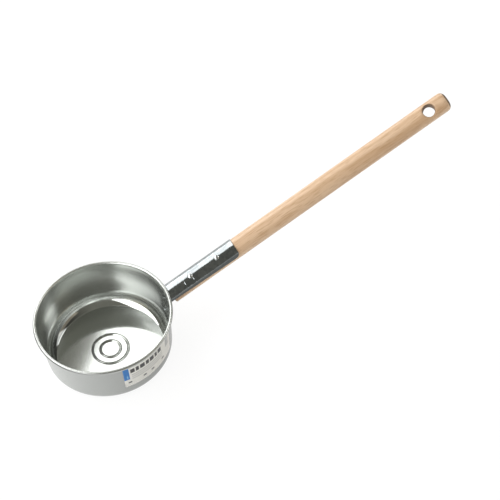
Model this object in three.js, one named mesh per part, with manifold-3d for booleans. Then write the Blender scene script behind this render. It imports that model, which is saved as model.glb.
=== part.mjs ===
// Galvanised water ladle: a pressed steel pan with a curled rim, a sheet steel socket riveted
// to its wall, and a round wooden handle nailed into the socket.
//
// Millimetres, +Z up. The origin is the centre of the pan's flat underside, +Z is the pan's
// axis, and the handle leaves the pan towards +X.

import * as THREE from "three";
import { mergeVertices } from "three/addons/utils/BufferGeometryUtils.js";
import Module from "manifold-3d";

const wasm = await Module();
wasm.setup();

// Driving dimensions: sheet metal and fits
const SHEET_THICKNESS = 0.6;
const FIT_GAP = 0.3;

// Driving dimensions: pan
const RIM_DIAMETER = 150;
const PAN_HEIGHT = 60;
const RIM_CURL_DIAMETER = 3.6;
const RIM_CURL_END_ANGLE = -105;
const PAN_FLAT_DIAMETER = 109;
const PAN_CORNER_RADIUS = 14;

// Driving dimensions: ripples pressed up into the middle of the base
const OUTER_RIPPLE_DIAMETER = 39;
const INNER_RIPPLE_DIAMETER = 22;
const RIPPLE_WIDTH = 3.4;
const RIPPLE_HEIGHT = 1.1;

// Driving dimensions: handle. Places along it are counted from where its axis meets the wall.
const HANDLE_RISE_ANGLE = 17;
const HANDLE_DIAMETER = 22;
const HANDLE_LENGTH = 362;
const HANDLE_TO_WALL = 9;
const HANDLE_END_ROUNDING = 4;
const HANDLE_START_CHAMFER = 1;

// Driving dimensions: hang hole through the handle, drilled by eye and so a little askew
const HANG_HOLE_DIAMETER = 12;
const HANG_HOLE_TO_END = 22.5;
const HANG_HOLE_TURN = 26;
const HANG_HOLE_LEAN = 5.5;
const HANG_HOLE_EDGE_BREAK = 1.6;

// Driving dimensions: socket
const SOCKET_LENGTH = 94;
const SOCKET_HALF_ARC_AT_PAN = 77;
const SOCKET_HALF_ARC_AT_END = 89;
const SOCKET_BELOW_CURL = 1.9;
const EAR_WIDTH = 4.5;
const EAR_START_ANGLE = 34;
const TONGUE_WIDTH = 12;
const TONGUE_MARGIN = 7;

// Driving dimensions: rivets that hold the socket's tongue to the pan's wall, placed above or
// below the handle's axis
const UPPER_RIVET_RISE = 4;
const LOWER_RIVET_RISE = -16;
const RIVET_SHANK_DIAMETER = 2.8;
const RIVET_HEAD_DIAMETER = 5.6;
const RIVET_HEAD_HEIGHT = 1.1;

// Driving dimensions: nails through the socket into the handle
const INNER_NAIL_TO_SOCKET_END = 57;
const OUTER_NAIL_TO_SOCKET_END = 22.6;
const NAIL_TURN = 17;
const NAIL_SHANK_DIAMETER = 2;
const NAIL_LENGTH = 16;
const NAIL_POINT_LENGTH = 2.5;
const NAIL_HEAD_DIAMETER = 5.8;
const NAIL_HEAD_HEIGHT = 1.5;

// Driving dimensions: paper label on the outside of the wall
const LABEL_AZIMUTH = -70;
const LABEL_WIDTH = 71;
const LABEL_HEIGHT = 34;
const LABEL_BELOW_RIM = 6;
const LABEL_THICKNESS = 0.3;

// Facets
const PAN_SIDES = 60;
const HANDLE_SIDES = 40;
const SMALL_SIDES = 16;
const ARC_STEPS = 6;
const CURL_STEPS = 9;
const RIPPLE_STEPS = 4;

const radians = THREE.MathUtils.degToRad;

// Pan section in the (radius, height) plane. The wall is the straight line that is tangent to
// the corner and to the inside of the rim's curl.
const curlRadius = RIM_CURL_DIAMETER / 2;
const curlBore = curlRadius - SHEET_THICKNESS;
const curlCentre = new THREE.Vector2(RIM_DIAMETER / 2 - curlRadius, PAN_HEIGHT - curlRadius);
const cornerCentre = new THREE.Vector2(PAN_FLAT_DIAMETER / 2, PAN_CORNER_RADIUS);
const cornerToCurl = curlCentre.clone().sub(cornerCentre);
const wallNormalAngle =
  cornerToCurl.angle() - Math.acos((PAN_CORNER_RADIUS + curlBore) / cornerToCurl.length());
const wallNormal = new THREE.Vector2(Math.cos(wallNormalAngle), Math.sin(wallNormalAngle));
const wallFoot = cornerCentre.clone().addScaledVector(wallNormal, PAN_CORNER_RADIUS);

// Socket and handle sections
const handleRadius = HANDLE_DIAMETER / 2;
const socketBore = handleRadius + FIT_GAP;
const socketRadius = socketBore + SHEET_THICKNESS;

// Radius of the wall's outside at a height, or of a surface that stands off it by an offset.
function wallRadius(height, offset = 0) {
  return wallFoot.x + (offset - (height - wallFoot.y) * wallNormal.y) / wallNormal.x;
}

// The socket's crown meets the wall just under the rim's curl, which places the handle's axis.
const riseAngle = radians(HANDLE_RISE_ANGLE);
const crownHeight = PAN_HEIGHT - RIM_CURL_DIAMETER - SOCKET_BELOW_CURL;
const axisHeight = crownHeight - socketRadius / Math.cos(riseAngle);
const rivetHeights = [axisHeight + UPPER_RIVET_RISE, axisHeight + LOWER_RIVET_RISE];
const tongueFoot = Math.min(...rivetHeights) - TONGUE_MARGIN;
const nailPlaces = [
  SOCKET_LENGTH - INNER_NAIL_TO_SOCKET_END,
  SOCKET_LENGTH - OUTER_NAIL_TO_SOCKET_END,
];

// Points of an arc in a section plane, angles in radians.
function arc(centre, radius, startAngle, endAngle, steps = ARC_STEPS) {
  const points = [];
  for (let i = 0; i <= steps; i += 1) {
    const angle = startAngle + ((endAngle - startAngle) * i) / steps;
    points.push(
      new THREE.Vector2(centre.x + radius * Math.cos(angle), centre.y + radius * Math.sin(angle)),
    );
  }
  return points;
}

// A closed three.js geometry as a solid that can be cut and joined.
function toSolid(geometry) {
  const bare = geometry.clone();
  bare.deleteAttribute("normal");
  bare.deleteAttribute("uv");
  const merged = mergeVertices(bare, 1e-4);
  const corners = merged.index.array;
  const triangles = [];
  for (let i = 0; i < corners.length; i += 3) {
    const [a, b, c] = corners.slice(i, i + 3);
    if (a !== b && b !== c && c !== a) {
      triangles.push(a, b, c);
    }
  }
  const mesh = new wasm.Mesh({
    numProp: 3,
    vertProperties: new Float32Array(merged.attributes.position.array),
    triVerts: new Uint32Array(triangles),
  });
  return new wasm.Manifold(mesh);
}

// A solid as a three.js geometry.
function toGeometry(solid) {
  const mesh = solid.getMesh();
  const geometry = new THREE.BufferGeometry();
  geometry.setAttribute("position", new THREE.BufferAttribute(mesh.vertProperties, 3));
  geometry.setIndex(new THREE.BufferAttribute(mesh.triVerts, 1));
  geometry.computeVertexNormals();
  return geometry;
}

// A section turned about the Z axis.
function turned(section, sides) {
  const geometry = new THREE.LatheGeometry(section, sides);
  geometry.rotateX(Math.PI / 2);
  return geometry;
}

// A shape drawn across the handle's axis and drawn out along it. In the handle's own axes
// +X runs along the handle, +Z towards its crown and +Y stays level.
function alongHandle(shape, start, end, curveSegments = ARC_STEPS) {
  const geometry = new THREE.ExtrudeGeometry(shape, {
    depth: end - start,
    bevelEnabled: false,
    curveSegments,
  });
  geometry.translate(0, 0, start);
  const across = new THREE.Matrix4().makeBasis(
    new THREE.Vector3(0, 1, 0),
    new THREE.Vector3(0, 0, 1),
    new THREE.Vector3(1, 0, 0),
  );
  geometry.applyMatrix4(across);
  return geometry;
}

// Part of a ring, with its angles counted from the crown.
function ringSector(innerRadius, outerRadius, startAngle, endAngle) {
  const crown = Math.PI / 2;
  const shape = new THREE.Shape();
  shape.absarc(0, 0, outerRadius, crown + startAngle, crown + endAngle, false);
  shape.absarc(0, 0, innerRadius, crown + endAngle, crown + startAngle, true);
  shape.closePath();
  return shape;
}

// From the handle's axes to the pan's axes.
const handleFrame = new THREE.Matrix4()
  .makeTranslation(wallRadius(axisHeight), 0, axisHeight)
  .multiply(new THREE.Matrix4().makeRotationY(-riseAngle));

// Frame of a pin that is square to the handle: +Z points out of the wood, turned from the
// crown towards -Y.
function pinFrame(along, turn) {
  return new THREE.Matrix4()
    .makeTranslation(along, 0, 0)
    .multiply(new THREE.Matrix4().makeRotationX(radians(turn)));
}

// Frame of a rivet: +Z points out of the pan, square to the wall.
function rivetFrame(height) {
  return new THREE.Matrix4()
    .makeTranslation(wallRadius(height), 0, height)
    .multiply(new THREE.Matrix4().makeRotationY(Math.PI / 2 - wallNormalAngle));
}

// A straight hole, centred on the origin and along Z.
function bore(diameter, length) {
  return toSolid(
    turned(
      [
        new THREE.Vector2(0, -length / 2),
        new THREE.Vector2(diameter / 2, -length / 2),
        new THREE.Vector2(diameter / 2, length / 2),
        new THREE.Vector2(0, length / 2),
      ],
      SMALL_SIDES,
    ),
  );
}

// A solid placed by a matrix.
function placed(solid, matrix) {
  return solid.transform(matrix.elements.slice());
}

// Everything inside the wall's outer face moved out by an offset, up to a height.
function wallCone(offset, top) {
  return toSolid(
    turned(
      [
        new THREE.Vector2(0, 0),
        new THREE.Vector2(wallRadius(0, offset), 0),
        new THREE.Vector2(wallRadius(top, offset), top),
        new THREE.Vector2(0, top),
      ],
      PAN_SIDES,
    ),
  );
}

// A layer of sheet that lies on the outside of the wall and stays under the rim's curl.
function wallLayer(thickness) {
  return wallCone(FIT_GAP + thickness, crownHeight).subtract(wallCone(FIT_GAP, PAN_HEIGHT));
}

// A ripple pressed into the base, from its inner to its outer foot, on a face at a height.
function ripple(diameter, height) {
  const points = [];
  for (let i = 0; i <= RIPPLE_STEPS; i += 1) {
    const share = i / RIPPLE_STEPS;
    const lift = (RIPPLE_HEIGHT * (1 - Math.cos(2 * Math.PI * share))) / 2;
    points.push(new THREE.Vector2(diameter / 2 + RIPPLE_WIDTH * (share - 0.5), height + lift));
  }
  return points;
}

function makePan() {
  const curlStart = wallNormalAngle + Math.PI;
  const curlEnd = radians(RIM_CURL_END_ANGLE);
  const rippleDiameters = [INNER_RIPPLE_DIAMETER, OUTER_RIPPLE_DIAMETER];
  const underside = rippleDiameters.flatMap((diameter) => ripple(diameter, 0));
  const floor = rippleDiameters.flatMap((diameter) => ripple(diameter, SHEET_THICKNESS));
  const section = [
    new THREE.Vector2(0, 0),
    ...underside,
    ...arc(cornerCentre, PAN_CORNER_RADIUS, -Math.PI / 2, wallNormalAngle),
    ...arc(curlCentre, curlBore, curlStart, curlEnd, CURL_STEPS),
    ...arc(curlCentre, curlRadius, curlEnd, curlStart, CURL_STEPS),
    ...arc(cornerCentre, PAN_CORNER_RADIUS - SHEET_THICKNESS, wallNormalAngle, -Math.PI / 2),
    ...floor.reverse(),
    new THREE.Vector2(0, SHEET_THICKNESS),
  ];
  const holeDiameter = RIVET_SHANK_DIAMETER + 2 * FIT_GAP;
  let pan = toSolid(turned(section, PAN_SIDES));
  for (const height of rivetHeights) {
    const hole = bore(holeDiameter, RIVET_HEAD_DIAMETER);
    pan = pan.subtract(placed(hole, rivetFrame(height)));
  }
  return toGeometry(pan);
}

// The socket's gutter in the handle's axes. Seen from the side, its lower edges fall away from
// the pan towards the outer end, where they reach further round the handle.
function makeGutter(reach) {
  const quarter = Math.PI / 2;
  const halfRing = ringSector(socketBore, socketRadius, -quarter, quarter);
  const trough = toSolid(alongHandle(halfRing, -reach, SOCKET_LENGTH, 3 * ARC_STEPS));
  const edgeAtPan = socketRadius * Math.cos(radians(SOCKET_HALF_ARC_AT_PAN));
  const edgeAtEnd = socketRadius * Math.cos(radians(SOCKET_HALF_ARC_AT_END));
  const sideShape = new THREE.Shape();
  sideShape.moveTo(-reach, edgeAtPan);
  sideShape.lineTo(0, edgeAtPan);
  sideShape.lineTo(SOCKET_LENGTH, edgeAtEnd);
  sideShape.lineTo(SOCKET_LENGTH + reach, edgeAtEnd);
  sideShape.lineTo(SOCKET_LENGTH + reach, reach);
  sideShape.lineTo(-reach, reach);
  sideShape.closePath();
  const side = new THREE.ExtrudeGeometry(sideShape, { depth: 2 * reach, bevelEnabled: false });
  side.translate(0, 0, -reach);
  side.rotateX(quarter);
  return trough.intersect(toSolid(side));
}

// The socket is one sheet: a gutter over the handle, open underneath, whose end turns out into
// two side ears and down into a tongue that passes the handle's end.
function makeSocket() {
  const earStart = radians(EAR_START_ANGLE);
  const earEnd = radians(SOCKET_HALF_ARC_AT_PAN);
  const reach = socketRadius + EAR_WIDTH;
  const gutter = placed(makeGutter(reach), handleFrame);

  const leftEar = ringSector(socketBore, reach, earStart, earEnd);
  const rightEar = ringSector(socketBore, reach, -earEnd, -earStart);
  const ears = toSolid(alongHandle(leftEar, -reach, reach)).add(
    toSolid(alongHandle(rightEar, -reach, reach)),
  );

  const half = TONGUE_WIDTH / 2;
  const tongueShape = new THREE.Shape();
  tongueShape.moveTo(-half, crownHeight);
  tongueShape.lineTo(-half, tongueFoot + half);
  tongueShape.absarc(0, tongueFoot + half, half, Math.PI, 2 * Math.PI, false);
  tongueShape.lineTo(half, crownHeight);
  tongueShape.closePath();
  const tongue = toSolid(alongHandle(tongueShape, 0, RIM_DIAMETER));

  const onWall = placed(ears, handleFrame).add(tongue).intersect(wallLayer(SHEET_THICKNESS));
  let socket = gutter.subtract(wallCone(FIT_GAP, PAN_HEIGHT)).add(onWall);
  const rivetHole = bore(RIVET_SHANK_DIAMETER + 2 * FIT_GAP, RIVET_HEAD_DIAMETER);
  for (const height of rivetHeights) {
    socket = socket.subtract(placed(rivetHole, rivetFrame(height)));
  }
  const nailHole = bore(NAIL_SHANK_DIAMETER + 2 * FIT_GAP, NAIL_HEAD_DIAMETER);
  for (const along of nailPlaces) {
    const atSheet = new THREE.Matrix4().makeTranslation(0, 0, socketRadius);
    const frame = handleFrame.clone().multiply(pinFrame(along, NAIL_TURN)).multiply(atSheet);
    socket = socket.subtract(placed(nailHole, frame));
  }
  return toGeometry(socket);
}

function makeHandle() {
  const start = HANDLE_TO_WALL;
  const end = HANDLE_TO_WALL + HANDLE_LENGTH;
  const rounding = new THREE.Vector2(handleRadius - HANDLE_END_ROUNDING, end - HANDLE_END_ROUNDING);
  const section = [
    new THREE.Vector2(0, start),
    new THREE.Vector2(handleRadius - HANDLE_START_CHAMFER, start),
    new THREE.Vector2(handleRadius, start + HANDLE_START_CHAMFER),
    ...arc(rounding, HANDLE_END_ROUNDING, 0, Math.PI / 2),
    new THREE.Vector2(0, end),
  ];
  const dowelGeometry = turned(section, HANDLE_SIDES);
  dowelGeometry.rotateY(Math.PI / 2);

  // The hole's broken edges flare on past the wood, so that the leaning cutter leaves no rim.
  const holeRadius = HANG_HOLE_DIAMETER / 2;
  const neck = handleRadius - HANG_HOLE_EDGE_BREAK;
  const flare = 2 * HANG_HOLE_EDGE_BREAK;
  const holeSection = [
    new THREE.Vector2(0, -neck - flare),
    new THREE.Vector2(holeRadius + flare, -neck - flare),
    new THREE.Vector2(holeRadius, -neck),
    new THREE.Vector2(holeRadius, neck),
    new THREE.Vector2(holeRadius + flare, neck + flare),
    new THREE.Vector2(0, neck + flare),
  ];
  const hole = toSolid(turned(holeSection, 2 * SMALL_SIDES));
  const lean = new THREE.Matrix4().makeRotationY(radians(-HANG_HOLE_LEAN));
  const holeFrame = pinFrame(end - HANG_HOLE_TO_END, HANG_HOLE_TURN).multiply(lean);

  let handle = toSolid(dowelGeometry).subtract(placed(hole, holeFrame));
  const depth = NAIL_LENGTH + FIT_GAP;
  const nailHole = bore(NAIL_SHANK_DIAMETER + 2 * FIT_GAP, 2 * depth);
  for (const along of nailPlaces) {
    const atSheet = new THREE.Matrix4().makeTranslation(0, 0, socketRadius + FIT_GAP);
    handle = handle.subtract(placed(nailHole, pinFrame(along, NAIL_TURN).multiply(atSheet)));
  }
  return toGeometry(handle);
}

// A flattened dome on a section's axis, from its rim at a height to its crown above.
function dome(diameter, rimHeight, rise) {
  const points = [];
  for (let i = 0; i <= ARC_STEPS; i += 1) {
    const angle = (Math.PI / 2) * (i / ARC_STEPS);
    const radius = i === ARC_STEPS ? 0 : (diameter / 2) * Math.cos(angle);
    points.push(new THREE.Vector2(radius, rimHeight + rise * Math.sin(angle)));
  }
  return points;
}

// A nail with a domed head. Its origin is the underside of the head and its point is at -Z.
function makeNail() {
  const shankRadius = NAIL_SHANK_DIAMETER / 2;
  return turned(
    [
      new THREE.Vector2(0, -NAIL_LENGTH),
      new THREE.Vector2(shankRadius, NAIL_POINT_LENGTH - NAIL_LENGTH),
      new THREE.Vector2(shankRadius, 0),
      ...dome(NAIL_HEAD_DIAMETER, 0, NAIL_HEAD_HEIGHT),
    ],
    SMALL_SIDES,
  );
}

// A rivet with a low dome inside the pan and another outside the tongue. Its origin lies on
// the wall's outer face.
function makeRivet() {
  const shankRadius = RIVET_SHANK_DIAMETER / 2;
  const inside = -SHEET_THICKNESS - FIT_GAP;
  const outside = FIT_GAP + SHEET_THICKNESS + FIT_GAP;
  const insideDome = dome(RIVET_HEAD_DIAMETER, -inside, RIVET_HEAD_HEIGHT)
    .map((point) => new THREE.Vector2(point.x, -point.y))
    .reverse();
  return turned(
    [
      ...insideDome,
      new THREE.Vector2(shankRadius, inside),
      new THREE.Vector2(shankRadius, outside),
      ...dome(RIVET_HEAD_DIAMETER, outside, RIVET_HEAD_HEIGHT),
    ],
    SMALL_SIDES,
  );
}

function makeLabel() {
  const top = PAN_HEIGHT - LABEL_BELOW_RIM;
  const halfAngle = LABEL_WIDTH / 2 / wallRadius(top - LABEL_HEIGHT / 2);
  const start = radians(LABEL_AZIMUTH) - halfAngle;
  const end = radians(LABEL_AZIMUTH) + halfAngle;
  const shape = new THREE.Shape();
  shape.moveTo(0, 0);
  shape.lineTo(RIM_DIAMETER * Math.cos(start), RIM_DIAMETER * Math.sin(start));
  shape.absarc(0, 0, RIM_DIAMETER, start, end, false);
  shape.closePath();
  const wedge = new THREE.ExtrudeGeometry(shape, {
    depth: LABEL_HEIGHT,
    bevelEnabled: false,
    curveSegments: ARC_STEPS,
  });
  wedge.translate(0, 0, top - LABEL_HEIGHT);
  return toGeometry(toSolid(wedge).intersect(wallLayer(LABEL_THICKNESS)));
}

function addPiece(parent, name, geometry, finish, frame = new THREE.Matrix4()) {
  const piece = new THREE.Mesh(geometry, new THREE.MeshStandardMaterial(finish));
  piece.name = name;
  piece.applyMatrix4(frame);
  parent.add(piece);
}

const galvanisedSteel = { color: 0xb9bcb8, roughness: 0.3, metalness: 1 };
const brightSteel = { color: 0xc9ccd0, roughness: 0.2, metalness: 1 };
const paleWood = { color: 0xe0bd92, roughness: 0.6, metalness: 0 };
const whitePaper = { color: 0xe6e6e4, roughness: 0.5, metalness: 0 };

const ladle = new THREE.Group();
addPiece(ladle, "pan", makePan(), galvanisedSteel);
addPiece(ladle, "socket", makeSocket(), galvanisedSteel);
rivetHeights.forEach((height, i) => {
  addPiece(ladle, `rivet_${i + 1}`, makeRivet(), galvanisedSteel, rivetFrame(height));
});
addPiece(ladle, "label", makeLabel(), whitePaper);

const handleGroup = new THREE.Group();
handleGroup.applyMatrix4(handleFrame);
addPiece(handleGroup, "handle", makeHandle(), paleWood);
nailPlaces.forEach((along, i) => {
  const onSocket = new THREE.Matrix4().makeTranslation(0, 0, socketRadius + FIT_GAP);
  const frame = pinFrame(along, NAIL_TURN).multiply(onSocket);
  addPiece(handleGroup, `nail_${i + 1}`, makeNail(), brightSteel, frame);
});
ladle.add(handleGroup);

export default ladle;
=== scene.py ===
# %% [markdown]
# # A galvanised water ladle
# The ladle is a pressed steel pan with a rolled rim, a sheet socket riveted to the pan's wall, and a long
# round wooden handle that two nails hold in the socket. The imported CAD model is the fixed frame: it says
# how large each piece is and where it sits. Here each piece is made again as a fine mesh with its real
# finish. Sizes are written in millimetres and turned into metres, Blender's unit, when a mesh is made.

# %% Load the fixed frame
import math

import bmesh
import bpy
from mathutils import Matrix, Vector, noise


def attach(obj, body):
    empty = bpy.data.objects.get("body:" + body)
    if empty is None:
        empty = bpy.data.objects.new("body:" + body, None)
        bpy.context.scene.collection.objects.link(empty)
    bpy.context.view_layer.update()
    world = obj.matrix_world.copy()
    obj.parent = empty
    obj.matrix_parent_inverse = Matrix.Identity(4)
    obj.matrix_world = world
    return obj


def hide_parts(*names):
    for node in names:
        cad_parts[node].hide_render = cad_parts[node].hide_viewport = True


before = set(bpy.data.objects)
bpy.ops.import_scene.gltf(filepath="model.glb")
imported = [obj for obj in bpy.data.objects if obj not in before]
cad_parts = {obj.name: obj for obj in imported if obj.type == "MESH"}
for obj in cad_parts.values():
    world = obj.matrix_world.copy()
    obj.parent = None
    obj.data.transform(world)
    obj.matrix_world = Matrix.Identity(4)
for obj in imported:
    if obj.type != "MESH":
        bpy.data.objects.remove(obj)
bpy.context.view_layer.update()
MM = 0.001
print("frame nodes:", sorted(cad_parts))

# %% [markdown]
# ## Camera
# A long lens far away keeps the round rim a clean ellipse, as product photographers like it. The camera
# looks down at about 51 degrees with a slight roll. Its place is worked out from the point that it aims at,
# so each number has a plain meaning: how far, which way, how steep, how much roll.

# %% Camera
CAMERA_AIM = Vector((172.03, -11.66, 71.16)) * MM
CAMERA_DISTANCE = 2142.05 * MM
CAMERA_HEADING = math.radians(69.01)
CAMERA_DIP = math.radians(50.95)
CAMERA_ROLL = math.radians(-8.37)
SENSOR_WIDTH = 36
FOCAL_LENGTH = 144

forward = Vector(
    (
        math.cos(CAMERA_DIP) * math.cos(CAMERA_HEADING),
        math.cos(CAMERA_DIP) * math.sin(CAMERA_HEADING),
        -math.sin(CAMERA_DIP),
    )
)
level_right = Vector((math.sin(CAMERA_HEADING), -math.cos(CAMERA_HEADING), 0))
level_up = level_right.cross(forward)
right = math.cos(CAMERA_ROLL) * level_right + math.sin(CAMERA_ROLL) * level_up
up = math.cos(CAMERA_ROLL) * level_up - math.sin(CAMERA_ROLL) * level_right

camera_data = bpy.data.cameras.new("camera")
camera_data.sensor_width = SENSOR_WIDTH
camera_data.lens = FOCAL_LENGTH
camera = bpy.data.objects.new("camera", camera_data)
bpy.context.collection.objects.link(camera)
camera.matrix_world = Matrix((right, up, -forward)).transposed().to_4x4()
camera.location = CAMERA_AIM - forward * CAMERA_DISTANCE
bpy.context.scene.camera = camera
bpy.context.scene.view_settings.view_transform = "Standard"
print("camera at", [round(value, 3) for value in camera.location])

# %% [markdown]
# ## Node and colour helpers
# Colours are picked as sRGB hex values, the way a paint program shows them. Shaders work in linear light,
# so one function converts them. A second small function adds a shader node with its settings, values and
# links at once, which keeps a material readable from top to bottom.


# %% Node and colour helpers
def linear(hex_colour):
    """Turns an sRGB hex value into linear light, by the curve of the sRGB standard."""
    channels = []
    for start in (0, 2, 4):
        value = int(hex_colour[start : start + 2], 16) / 255
        channels.append(value / 12.92 if value <= 0.04045 else ((value + 0.055) / 1.055) ** 2.4)
    return (*channels, 1.0)


def add_node(tree, kind, inputs, **settings):
    """Adds a shader node. Each input is a plain value or another node's output."""
    node = tree.nodes.new(kind)
    for name, value in settings.items():
        setattr(node, name, value)
    for key, value in inputs.items():
        if isinstance(value, bpy.types.NodeSocket):
            tree.links.new(value, node.inputs[key])
        else:
            node.inputs[key].default_value = value
    return node


def new_material(name):
    material = bpy.data.materials.new(name)
    material.use_nodes = True
    material.node_tree.nodes.clear()
    return material


print("hex 808080 in linear light:", round(linear("808080")[0], 3))

# %% [markdown]
# ## Room
# Shiny metal is seen by what it mirrors, and a room is never black. A plain world colour, a warm mid grey,
# stands for all that no lamp is turned to. It is what the dark areas of the pan and the socket mirror.

# %% Room
ROOM_GREY = "7b7a72"

world = bpy.data.worlds.new("dim_room")
world.use_nodes = True
world.node_tree.nodes.clear()
room = add_node(world.node_tree, "ShaderNodeBackground", {"Color": linear(ROOM_GREY)})
add_node(world.node_tree, "ShaderNodeOutputWorld", {"Surface": room.outputs["Background"]})
bpy.context.scene.world = world
print("room:", world.name, ROOM_GREY)

# %% [markdown]
# ## Table top
# The ladle lies on a white table. More light would make the paint white in the picture, but it would also
# burn out the metal. So the table glows for the camera and for mirror rays alone, and a grey paint under
# the glow keeps the object's soft shadow. The light that bounces from the table to the ladle comes from
# white paint.

# %% Table top
TABLE_WHITE = "f2f2f0"
SHADOW_GREY = "696969"
TABLE_SIZE = 5.0
TABLE_GLOW = 0.9

floor_paint = new_material("white_table_paint")
tree = floor_paint.node_tree
rays = add_node(tree, "ShaderNodeLightPath", {})
seen = rays.outputs["Is Camera Ray"]
for ray in ("Is Glossy Ray", "Is Transmission Ray"):
    seen = add_node(
        tree, "ShaderNodeMath", {0: seen, 1: rays.outputs[ray]}, operation="MAXIMUM"
    ).outputs[0]
paint = add_node(tree, "ShaderNodeBsdfDiffuse", {"Color": linear(TABLE_WHITE)})
shadow_paint = add_node(tree, "ShaderNodeBsdfDiffuse", {"Color": linear(SHADOW_GREY)})
glow = add_node(tree, "ShaderNodeEmission", {"Strength": TABLE_GLOW})
seen_paint = add_node(
    tree, "ShaderNodeAddShader", {0: shadow_paint.outputs[0], 1: glow.outputs[0]}
)
either_paint = add_node(
    tree,
    "ShaderNodeMixShader",
    {"Fac": seen, 1: paint.outputs[0], 2: seen_paint.outputs[0]},
)
add_node(tree, "ShaderNodeOutputMaterial", {"Surface": either_paint.outputs[0]})

half = TABLE_SIZE / 2
floor_mesh = bpy.data.meshes.new("table_top")
floor_mesh.from_pydata(
    [(-half, -half, 0), (half, -half, 0), (half, half, 0), (-half, half, 0)], [], [(0, 1, 2, 3)]
)
floor_mesh.materials.append(floor_paint)
floor = bpy.data.objects.new("table_top", floor_mesh)
bpy.context.collection.objects.link(floor)
print("table top:", TABLE_SIZE, "m wide, glow", TABLE_GLOW)

# %% [markdown]
# ## Softboxes
# Each lamp is placed for what it looks like in the ladle. The flat base mirrors the small overhead panel,
# whose edge parts it into a white and a dark half. The panel behind makes the white band along the socket.
# The wide softbox at the left lights the wood and the wall, and shows as the white crescent at the foot of
# the wall. Two low sweeps behind give the dowel its pale crown. At the right, a warm fill and a small panel
# keep the shaded side of wood and wall open. Where no panel stands the dim room shows, as in the dark band
# on the socket.

# %% Softboxes
# A lamp that looks straight down has no level side of its own and takes the X axis.
STRAIGHT_DOWN = 0.999

# Name, place, point it faces, turn about that line in degrees, width and height in metres,
# brightness (white paper is 1) and colour
SOFTBOXES = (
    ("left_softbox", (-1.636, -0.184, 1.168), (0.0, 0.0, 0.03), -19.0, 3.4, 1.3, 3.2, "ffffff"),
    ("back_sweep", (-0.25, 1.6, 0.55), (-0.25, 0.0, 0.55), 0.0, 2.1, 0.9, 1.3, "ffffff"),
    ("back_panel", (-0.195, 0.677, 0.882), (0.058, 0.0, 0.053), -26.4, 0.45, 1.27, 2.8, "ffffff"),
    ("overhead_panel", (0.247, 0.839, 1.2), (0.247, 0.839, 0.0), 45.4, 0.2, 0.155, 2.5, "ffffff"),
    ("right_fill", (1.187, -0.832, 0.706), (0.15, 0.0, 0.05), 0.0, 1.3, 0.8, 0.65, "ffeed8"),
    ("right_sweep", (1.2, 1.25, 0.5), (0.25, 0.0, 0.1), 0.0, 1.2, 0.9, 2.2, "ffffff"),
    ("right_back", (1.15, -0.1, 0.9), (0.15, 0.0, 0.08), 0.0, 0.55, 0.6, 2.4, "ffffff"),
)

for name, place, faces, turn, width, height, brightness, colour in SOFTBOXES:
    lamp_data = bpy.data.lights.new(name, "AREA")
    lamp_data.shape = "RECTANGLE"
    lamp_data.color = linear(colour)[:3]
    lamp_data.size = width
    lamp_data.size_y = height
    # A matt panel sends out pi times its brightness per square metre.
    lamp_data.energy = math.pi * brightness * width * height
    lamp = bpy.data.objects.new(name, lamp_data)
    bpy.context.collection.objects.link(lamp)
    back = (Vector(place) - Vector(faces)).normalized()
    level = Vector((1, 0, 0))
    if abs(back.z) < STRAIGHT_DOWN:
        level = Vector((0, 0, 1)).cross(back).normalized()
    axes = Matrix((level, back.cross(level), back)).transposed().to_4x4()
    lamp.matrix_world = Matrix.Translation(place) @ axes @ Matrix.Rotation(math.radians(turn), 4, "Z")
    print(name, "gives", round(lamp_data.energy, 1), "W")

# %% [markdown]
# ## Mesh helpers
# Nearly every piece of the ladle is either turned about an axis or a sheet with rows and columns of points.
# Two short functions list the faces of such grids, and one the points of an arc. Another turns points into
# a mesh, smooths its shading apart from real edges, puts it on the ladle's body and hides the CAD node that
# it stands for.


# %% Mesh helpers
EDGE_ANGLE = math.radians(38)


def sheet_faces(rows, columns, first=0, closed=False):
    faces = []
    spans = columns if closed else columns - 1
    for row in range(rows - 1):
        for column in range(spans):
            after = (column + 1) % columns
            near = first + row * columns
            far = near + columns
            faces.append((near + column, near + after, far + after, far + column))
    return faces


def turned(profile, sides):
    """Turns (radius, height) points about Z. The first and last point lie on the axis."""
    points = [(0, 0, profile[0][1])]
    for radius, height in profile[1:-1]:
        for side in range(sides):
            angle = 2 * math.pi * side / sides
            points.append((radius * math.cos(angle), radius * math.sin(angle), height))
    points.append((0, 0, profile[-1][1]))
    rings = len(profile) - 2
    faces = sheet_faces(rings, sides, first=1, closed=True)
    last_ring = 1 + (rings - 1) * sides
    for side in range(sides):
        after = (side + 1) % sides
        faces.append((0, 1 + after, 1 + side))
        faces.append((len(points) - 1, last_ring + side, last_ring + after))
    return points, faces


def arc(centre, radius, start, end, steps):
    points = []
    for step in range(steps + 1):
        angle = start + (end - start) * step / steps
        points.append((centre[0] + radius * math.cos(angle), centre[1] + radius * math.sin(angle)))
    return points


def make_piece(name, cad_node, points, faces, material, place=None):
    mesh = bpy.data.meshes.new(name)
    mesh.from_pydata([Vector(point) * MM for point in points], [], faces)
    shape = bmesh.new()
    shape.from_mesh(mesh)
    bmesh.ops.recalc_face_normals(shape, faces=shape.faces)
    shape.to_mesh(mesh)
    shape.free()
    mesh.shade_smooth()
    mesh.set_sharp_from_angle(angle=EDGE_ANGLE)
    mesh.materials.append(material)
    piece = bpy.data.objects.new(name, mesh)
    bpy.context.collection.objects.link(piece)
    if place:
        piece.matrix_world = place
    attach(piece, "root")
    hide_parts(cad_node)
    print(name, "has", len(points), "points, replaces", cad_node)
    return piece


print("a sheet of 4 rows and 3 columns has", len(sheet_faces(4, 3)), "faces")

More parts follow.
